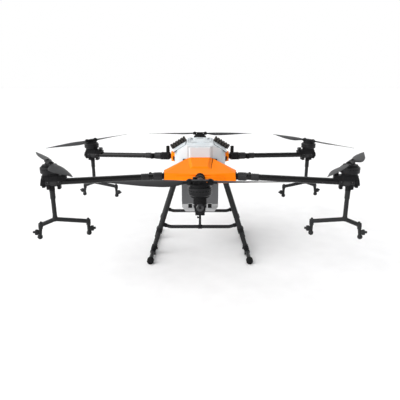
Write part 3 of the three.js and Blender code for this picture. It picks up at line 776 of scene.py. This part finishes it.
for station in STATIONS:
    place, parting, side = station_frame(station)
    turn = blade_turn(station, place)
    has_boom = "nozzle_boom_" + station in frame["nodes"]
    spin = -1 if station in ("front", "rear_left", "rear_right") else 1  # neighbours alternate
    make_arm(station, place, parting, side)
    make_mount(station, place, has_boom)
    make_rotor(station, place, turn)
    for letter in "ab":
        make_blade(station, letter, place, spin)
    if has_boom:
        make_socket(station, place, parting, side)
        make_boom(station, place)
    if "antenna_" + station in frame["nodes"]:
        make_antenna(station, place)


# Body. Local heights are over the arm tubes' axis, and the front is towards -Y.

ARM_HEIGHT = JOINTS["spin_front"]["pos_m"][2] - BELL_HEIGHT * MM * JOINTS["spin_front"]["axis"][2]
BODY_PLACE = Matrix.Translation((0, 0, ARM_HEIGHT))
AS_BUILT = Matrix.Identity(4)
HALF_TURN = Matrix.Rotation(math.pi, 4, "Z")
HOUSING_TOP = 140
TOP_EDGE_X = 68  # where the housing's flat top ends and its sloping shoulders begin
SHOULDER_SLOPE = math.atan2(HOUSING_TOP - 97, 137 - TOP_EDGE_X)
SHOULDER_X = 110  # the middle of the plate on each shoulder
DECK_END = 331  # the deck without the fold sockets on its ends
FILLER_Y = -92
TANK_BOTTOM = -225
TANK_FRONT = 141
TANK_SIDE = 98


def both_sides(points):
    return points + [(-x, y, z) for x, y, z in points]


def make_centre_frame():
    """The deck with its screws, and the front and rear fold sockets built again in full detail."""
    deck = Piece("centre_frame", BODY_PLACE)
    form = deck.own_form(0.6)
    for end in (-1, 1):
        geom = form.verts[:] + form.edges[:] + form.faces[:]
        made = bmesh.ops.bisect_plane(form, geom=geom, plane_co=(0, end * DECK_END, 0),
                                      plane_no=(0, end, 0), clear_outer=True)
        rim = [e for e in made["geom_cut"] if isinstance(e, bmesh.types.BMEdge)]
        bmesh.ops.holes_fill(form, edges=rim)
    deck.add(form, PLATE_CARBON)
    for x in (-150, -70, 70, 150):
        for y in (-308, 308):
            for face in (8, -8):
                deck.add(cap_screw((x, y, face), (x, y, face * 1.55), 4.2), STEEL)
    for x in (-118, 118):
        for y in (-120, -60, 0, 60, 120):
            deck.add(cap_screw((x, y, -8), (x, y, -12.4), 3.6), STEEL)
    for end in ("front", "rear"):
        place, parting, side = station_frame(end)
        socket = Piece("centre_frame", place)
        socket.add(rod(15, (-500, 0, 0), (-466, 0, 0), 40), BLACK)
        add_socket(socket, parting, side)
        deck.take(socket)
    deck.finish()


GROMMET_Y, GROMMET_Z = -309.4, 7.5  # the side arms' axes where they pass through a cover's wall


def make_cover(node, turn, grommet):
    """A faceted nose, built as the front one: shell, ridge, prow, grommets, clips and screws."""
    cover = Piece(node, BODY_PLACE @ turn)
    cover.add(cover.own_form(2.6, 3), ORANGE)
    ridge = [(66, -165, 72), (53, -291, 38), (50, -172, 80), (38, -282, 52), (38, -290, 45)]
    cover.add(convex(both_sides(ridge), 1.2), ORANGE)
    # A dark line down the ridge's right side only: painted shade of the gap there
    cover.add(rod(1.6, (67, -168, 73), (54.5, -291, 39.4), 10, 0.2), BLACK_MARKS_AND_PAINTED_SHADE)
    nose = [(50, -290, 38), (40, -291, 43.5), (56, -351, 20), (46, -353, 24)]
    cover.add(convex(both_sides(nose), 1.2), ORANGE)
    # The prow has a flat front between two facets that turn back towards the arms
    prow = [(57, -361, 17), (57, -361, -13), (57, -338, 22), (57, -338, -13),
            (119, -346, 13), (119, -346, -13), (119, -338, 15), (119, -338, -13)]
    cover.add(convex(both_sides(prow), 1.2), ORANGE)
    for side in (-1, 1):
        ends = [(side * x, GROMMET_Y, GROMMET_Z) for x in (174, 180.5)]
        cover.add(pipe(grommet, 16.4, *ends), RUBBER)
        cover.add(brick((side * 82 - 8, -172, 60), (side * 82 + 8, -158, 69), 1.5), BLACK)
        cover.add(cap_screw((side * 82, -168, 64), (side * 82, -174, 64), 2.6), STEEL)
        for x, y, z in ((160, -337, 14), (80, -349, 12)):
            cover.add(cap_screw((side * x, y + 6, z), (side * x, y - 0.4, z), 2.0), ORANGE)
    cover.add(pipe(25, 21.5, (0, -342, 6), (0, -363, 6), 56), RUBBER)
    cover.finish()


def on_shoulder(form, side):
    """Moves a form built round the origin onto the middle of a sloping shoulder."""
    lift = HOUSING_TOP - (SHOULDER_X - TOP_EDGE_X) * math.tan(SHOULDER_SLOPE)
    place = Matrix.Translation((side * SHOULDER_X, 12, lift))
    return moved(form, place @ Matrix.Rotation(side * SHOULDER_SLOPE, 4, "Y"))


def make_housing():
    """White shell: raised end panels, shoulder plates with pedestals, louvres, screws, and painted
    shade along its seams.
    """
    shell = Piece("top_housing", BODY_PLACE)
    shell.add(shell.own_form(2.4, 3), WHITE)
    for turn in (AS_BUILT, HALF_TURN):
        panel = [(62, -167.5, 74), (62, -167.5, 137), (51, -176, 77), (51, -176, 132)]
        shell.add(moved(convex(both_sides(panel), 1.5, 3), turn), WHITE)
        brow = [(58, -171, 134), (62, -168, 140.5), (58, -160, 141.5), (58, -160, 134)]
        shell.add(moved(convex(both_sides(brow), 1.0), turn), WHITE)
        # A grey strip under the brow: painted shade of the ledge
        shell.add(moved(brick((-59, -173.4, 132.4), (59, -168, 134.2), 0.3), turn), GLAND_GREY_AND_PAINTED_SHADE)
        for side in (-1, 1):
            # Grey lines beside the raised panel: painted shade of its step
            line = rod(0.9, (side * 63, -169, 72), (side * 63, -169, 136), 10, 0.2)
            shell.add(moved(line, turn), PALE_GREY_AND_PAINTED_SHADE)
            screw = cap_screw((side * 104, -141, 40), (side * 106, -145.5, 40))
            shell.add(moved(screw, turn), BLACK_MARKS_AND_PAINTED_SHADE)
    for side, turn in ((-1, HALF_TURN), (1, AS_BUILT)):
        # A grey plate a little larger than the white one, its rim showing as a painted shadow line
        shell.add(on_shoulder(brick((-40, -121, -2), (41, 97, 1.6)), side), GLAND_GREY_AND_PAINTED_SHADE)
        shell.add(on_shoulder(brick((-37, -118, -1), (38, 94, 5), 2.0), side), WHITE)
        shell.add(on_shoulder(brick((-27, -13, 3), (27, 13, 6.2), 1.2), side), WHITE)
        for z in range(34, 82, 8):
            shell.add(moved(brick((136.2, -46, z), (139.4, 46, z + 3)), turn), WHITE)
    # A black strip across the top: painted shade of a seam
    shell.add(brick((-66, -44, 138.6), (66, -41.6, 140.8), 0.3), BLACK_MARKS_AND_PAINTED_SHADE)
    shell.add(pipe(47, 43.4, (0, FILLER_Y, 138), (0, FILLER_Y, 141.2), 72), WHITE)
    shell.finish()


def make_grip(node, side):
    grip = Piece(node, BODY_PLACE)
    # A black core under the brown ribs, whose dark shows in the gaps between them as painted shade
    grip.add(on_shoulder(brick((-46, -14, 6.3), (46, 14, 29.6), 2.5), side), BLACK)
    for k in range(6):
        x = -41 + k * 16.4
        grip.add(on_shoulder(brick((x - 5, -15.6, 8), (x + 5, 15.6, 34), 1.6), side), BROWN)
    for x in (-42, 42):
        for y in (-9, 9):
            grip.add(on_shoulder(cap_screw((x, y, 30), (x, y, 34.6), 2.6), side), STEEL)
    grip.finish()


def make_tank():
    """Grey tank: chamfered shell, pale foot with sight windows, ribs, level marks, neck, drain."""
    tank = Piece("spray_tank", BODY_PLACE)
    form = tank.own_form(3.0, 3, 20)
    band = TANK_BOTTOM + 42
    geom = form.verts[:] + form.edges[:] + form.faces[:]
    bmesh.ops.bisect_plane(form, geom=geom, plane_co=(0, 0, band), plane_no=(0, 0, 1))
    tank.add(form, GREY, below=(band, PALE_GREY_AND_PAINTED_SHADE))
    for end in (-1, 1):
        face = end * TANK_FRONT
        for x in (-53, 53):
            for left, right, low, high in ((-13, 13, 44, 46.5), (-13, 13, 18, 20.5),
                                           (-13, -10.5, 18, 46.5), (10.5, 13, 18, 46.5)):
                tank.add(brick((x + left, face - end * 2, TANK_BOTTOM + low),
                               (x + right, face + end, TANK_BOTTOM + high), 0.6), PALE_GREY_AND_PAINTED_SHADE)
            tank.add(brick((x - 11, face - end * 3, TANK_BOTTOM + 20),
                           (x + 11, face - end, TANK_BOTTOM + 45), 0.6), BLACK)
        tank.add(brick((-72, face - end, -172), (72, face + end * 0.7, -20), 0.6), GREY)
    for side in (-1, 1):
        wall = side * TANK_SIDE
        for y in (-100, -50, 0, 50, 100):
            tank.add(brick((wall - side, y - 7, -176), (wall + side * 2.2, y + 7, -16), 1.4), GREY)
        for k in range(12):
            mark_length = 8 if k % 3 == 0 else 5
            z = -170 + k * 12
            tank.add(brick((wall - side, 24 - mark_length, z), (wall + side, 24, z + 1), 0.2), BLACK_MARKS_AND_PAINTED_SHADE)
    neck = [(34.4, 108), (37.6, 108), (39.5, 110), (39.5, 114), (38, 116)]
    neck += [(38, 125.6), (34.4, 125.6)]
    tank.add(shifted(turned(neck, 56), 0, FILLER_Y, 0), GREY)
    drain = [(0, -233), (12, -233), (16, -231), (18, -226), (18, -222), (0, -222)]
    tank.add(shifted(turned(drain), 0, -70, 0), BLACK)
    tank.finish()


def make_cap():
    """Filler cap: flush lid with a raised bar to turn it by and a fine groove round it."""
    cap = Piece("tank_cap", BODY_PLACE @ Matrix.Translation((0, FILLER_Y * MM, 0)))
    lid = [(0, 126.4), (41.4, 126.4), (42.4, 127.4), (42.4, 138.8), (41.4, 140)]
    lid += [(37, 140), (36.4, 139.4), (35.6, 139.4), (35, 140), (0, 140)]
    cap.add(turned(lid, 72), WHITE)
    cap.add(turned([(0, 116), (31, 116), (32, 117), (32, 127), (0, 127)], 56), BLACK)
    cap.add(brick((-30, -5, 138), (30, 5, 143.6), 2.2), WHITE)
    for a in circle(36):
        cap.add(spun(brick((41.6, -0.9, 128), (42.9, 0.9, 137.5), 0.3), a), WHITE)
    cap.finish("filler_cap")


def make_battery():
    """Battery: case with painted shade for finger slots, raised lid, latches, corner screws and
    status lights.
    """
    pack = Piece("battery_pack", BODY_PLACE)
    pack.add(pack.own_form(2.4, 3), WHITE)
    lid = [(34, -4, 139), (34, 140, 139), (31, -1, 142.4), (31, 137, 142.4)]
    pack.add(convex(both_sides(lid), 1.2, 3), WHITE)
    for side in (-1, 1):
        # Dark patches on the case: painted shade of the finger slots
        pack.add(brick((side * 49 - 8.6, 41, 131), (side * 49 + 8.6, 99, 132.6), 0.4), BLACK_MARKS_AND_PAINTED_SHADE)
        pack.add(brick((side * 49 - 6, 112, 138), (side * 49 + 6, 132, 142.2), 1.6), BLACK)
        for y in (0, 142):
            pack.add(cap_screw((side * 56, y, 138), (side * 56, y, 141)), BLACK_MARKS_AND_PAINTED_SHADE)
    pack.add(brick((-20, 106, 141.4), (20, 116, 143.2), 0.8), BLACK)
    for x in (-13.5, -4.5, 4.5, 13.5):
        pack.add(rod(2.0, (x, 111, 142.4), (x, 111, 144), 16, 0.4), GLAND_GREY_AND_PAINTED_SHADE)
    pack.finish("battery")


def make_controller():
    box = Piece("flight_controller", BODY_PLACE)
    box.add(box.own_form(1.2), BLACK)
    for x in (-28, 28):
        for y in (-290, -242):
            box.add(cap_screw((x, y, 26), (x, y, 29), 2.6), STEEL)
    for x in (-24, -8, 8, 24):
        box.add(brick((x - 5, -235.5, 14), (x + 5, -232, 22), 0.8), BLACK_MARKS_AND_PAINTED_SHADE)
    box.finish()


def make_pump():
    pump = Piece("spray_pump", BODY_PLACE)
    pump.add(brick((-30, 254, 10.4), (10, 270, 16)), BLACK)
    barrel = [(0, 0), (10.4, 0), (11, 1), (11, 50), (10, 52), (10, 54), (0, 54)]
    pump.add(aligned(turned(barrel, 36), (-34, 262, 22), (20, 262, 22)), PAINTED)
    for x in (-24, -12, 0):
        pump.add(pipe(11.7, 10.5, (x, 262, 22), (x + 3, 262, 22), 36), BLACK)
    pump.add(brick((14, 246, 10.4), (40, 278, 33), 2.0), BLACK)
    for y in (251, 273):
        for z in (15, 28.5):
            pump.add(cap_screw((38, y, z), (41.6, y, z), 2.2), STEEL)
    pump.finish()


make_centre_frame()
make_cover("front_cover", AS_BUILT, 20.5)
make_cover("rear_cover", HALF_TURN, 18.2)
make_housing()
make_grip("grip_left", -1)
make_grip("grip_right", 1)
make_tank()
make_cap()
make_battery()
make_controller()
make_pump()


# Landing gear

SKID_SPREAD = 263  # from the middle to each skid's axis
SKID_Z = 17.6 - ARM_HEIGHT / MM
SKID_RADIUS = 10.5
LEG_PLANE = 128  # how far ahead of the middle or behind it the legs stand
LEG_LEAN = (SKID_SPREAD - 144) / 371  # outward run for each unit of drop
LEG_STEP = -335  # where the thick upper tube ends
LEG_TOP = -10.3


def leg_point(side, end, z):
    return side * (SKID_SPREAD - (z - SKID_Z) * LEG_LEAN), end * LEG_PLANE, z


def make_leg(node, side, end):
    """A two-part leg tube with its joint collar, top shoe, foot sleeve, tee and clamp bolts."""
    def along(z0, z1):
        return leg_point(side, end, z0), leg_point(side, end, z1)

    leg = Piece(node, BODY_PLACE)
    leg.add(rod(14.5, *along(LEG_STEP, LEG_TOP - 4), 48), PAINTED)
    leg.add(rod(12.5, *along(SKID_Z + 14, LEG_STEP + 4), 48), PAINTED)
    collar = [(12, 0), (15.4, 0), (16.6, 1.2), (16.6, 8), (16, 8.8), (16, 15.6), (16.6, 16.4)]
    collar += [(16.6, 24), (15.4, 25.2), (14, 25.2)]
    leg.add(aligned(turned(collar), *along(LEG_STEP - 12, LEG_STEP + 12)), BLACK)
    x, y, _ = leg_point(side, end, LEG_TOP)
    leg.add(slab(arc(x, y, 19, 0, 360, 40)[:-1], LEG_TOP - 5, LEG_TOP - 0.1, 1.2), BLACK)
    leg.add(rod(16.2, *along(LEG_TOP - 24, LEG_TOP - 4), 40, 1.5), BLACK)
    leg.add(rod(15.5, *along(SKID_Z + 8, SKID_Z + 34), 40, 1.5), BLACK)
    tee = [(10.8, 0), (14, 0), (15, 1), (15, 8), (14.2, 9), (14.2, 39), (15, 40), (15, 47)]
    tee += [(14, 48), (10.8, 48)]
    foot = side * SKID_SPREAD
    leg.add(aligned(turned(tee), (foot, y - 24, SKID_Z), (foot, y + 24, SKID_Z)), BLACK)
    for up, inward, bolt_y in ((14, 26, y), (-12, 14, y + end * 20)):
        z = SKID_Z + up
        inner = side * (SKID_SPREAD - inward)
        leg.add(rod(5, (foot - side * 8, bolt_y, z), (inner + side * 4, bolt_y, z), 24), BLACK)
        leg.add(cap_screw((inner + side * 6, bolt_y, z), (inner, bolt_y, z), 5.6), BLACK)
    for z in (LEG_STEP - 6, LEG_STEP + 6):
        x = leg_point(side, end, z)[0]
        leg.add(cap_screw((x + side * 12, y, z), (x + side * 18.4, y, z)), STEEL)
    leg.finish()


def make_skid(node, side):
    """A skid tube with ribbed rubber ends that are worn flat underneath."""
    skid = Piece(node, BODY_PLACE)
    x = side * SKID_SPREAD
    skid.add(rod(SKID_RADIUS, (x, -281, SKID_Z), (x, 266, SKID_Z), 40), PAINTED)
    cap = [(0, 0), (14.5, 0), (17, 1.5), (18, 4.5)]
    for start in (7, 12, 17):
        cap += [(18, start - 1), (17, start), (17, start + 1.4), (18, start + 2.4)]
    cap += [(18, 24), (17, 26), (0, 26)]
    ground = -ARM_HEIGHT / MM
    for tip, inner, sleeve_end in ((-285, -259, -251), (270, 244, 236)):
        form = aligned(turned(cap, 48), (x, tip, SKID_Z), (x, inner, SKID_Z))
        for vert in form.verts:
            vert.co.z = max(vert.co.z, ground)
        skid.add(form, RUBBER)
        skid.add(pipe(12.6, 10.3, (x, inner, SKID_Z), (x, sleeve_end, SKID_Z), 40), RUBBER)
    skid.finish()


def make_crossbar(node, end):
    """A bent tube between two legs; the front one carries the strut under the tank."""
    bar = Piece(node, BODY_PLACE)
    height = -316 if end < 0 else -300
    straight, rise, radius = 165, 16, 9.5
    tips = [leg_point(side, end, height + rise) for side in (-1, 1)]
    y = end * LEG_PLANE
    path = [tips[0], (-straight, y, height), (straight, y, height), tips[1]]
    bar.add(bent_pipe(path, radius, 60, 32), PAINTED)
    for side, (x, _, z) in zip((-1, 1), tips):
        slope = rise / (abs(x) - straight)
        ends = [(x - side * inward, y, z - inward * slope) for inward in (28, 12)]
        bar.add(pipe(11.4, 9.2, *ends, 36), BLACK)
    if end < 0:
        bar.add(rod(6.5, (0, y, height), (0, y, TANK_BOTTOM - 0.5), 28), PAINTED)
        bar.add(pipe(11.8, 9.2, (-11, y, height), (11, y, height), 36), BLACK)
        bar.add(rod(10, (0, y, TANK_BOTTOM - 7), (0, y, TANK_BOTTOM - 0.5), 32, 1.2), BLACK)
        bar.add(rod(4, (-12, y, -262), (4, y, -262), 20), BLACK)
        bar.add(cap_screw((-9, y, -262), (-16, y, -262), 5.4), BLACK)
    bar.finish()


for side_name, side in (("left", -1), ("right", 1)):
    make_leg("leg_front_" + side_name, side, -1)
    make_leg("leg_rear_" + side_name, side, 1)
    make_skid("skid_" + side_name, side)
make_crossbar("crossbar_front", -1)
make_crossbar("crossbar_rear", 1)


# Floor, light and camera

def add_floor():
    material = moulded("floor_paper", (0.90, 0.90, 0.90), (0.94, 0.94, 0.94), 0.8, 0.9, 0.1)
    data = bpy.data.meshes.new("floor")
    half = 60.0
    corners = [(-half, -half, 0), (half, -half, 0), (half, half, 0), (-half, half, 0)]
    data.from_pydata(corners, [], [(0, 1, 2, 3)])
    data.materials.append(material)
    floor = new_object("floor", data)


def add_sky_light(name, direction, angle, power):
    """A far, soft light from a direction, as wide across as an angle in degrees."""
    data = bpy.data.lights.new(name, "SUN")
    data.angle = math.radians(angle)
    data.energy = power
    light = new_object(name, data)
    light.rotation_euler = Vector(direction).to_track_quat("Z", "Y").to_euler()


def add_studio():
    """A pale surround, bright near the horizon and dimmer overhead."""
    world = bpy.data.worlds.new("studio")
    world.use_nodes = True
    nodes, links = world.node_tree.nodes, world.node_tree.links
    place = nodes.new("ShaderNodeTexCoord")
    height = nodes.new("ShaderNodeSeparateXYZ")
    links.new(place.outputs["Generated"], height.inputs["Vector"])
    stops = [(0.19, (1.0, 1.0, 1.0)), (0.3, (0.16, 0.16, 0.165)), (1.0, (0.24, 0.24, 0.245))]
    links.new(ramp(nodes, links, height.outputs["Z"], stops), nodes["Background"].inputs["Color"])
    nodes["Background"].inputs["Strength"].default_value = 1.0
    bpy.context.scene.world = world


CAMERA_PLACE = (0.0, -2.412, 0.93)
CAMERA_PITCH = 15.15  # degrees below level
CAMERA_LENS = 39.09  # millimetres, for a sensor 36 mm wide

add_floor()
add_sky_light("key", (-1.0, -0.55, 0.6), 75, 3.9)
add_sky_light("fill", (0.4, -0.7, 0.8), 80, 0.3)
add_sky_light("back", (0.1, 0.7, 1.0), 80, 1.2)
add_studio()
bpy.context.scene.view_settings.view_transform = "Standard"

camera_data = bpy.data.cameras.new("camera")
camera_data.lens = CAMERA_LENS
camera_data.sensor_width = 36.0
camera = new_object("camera", camera_data)
camera.location = CAMERA_PLACE
camera.rotation_euler = (math.radians(90 - CAMERA_PITCH), 0, 0)
bpy.context.scene.camera = camera

bpy.context.view_layer.update()
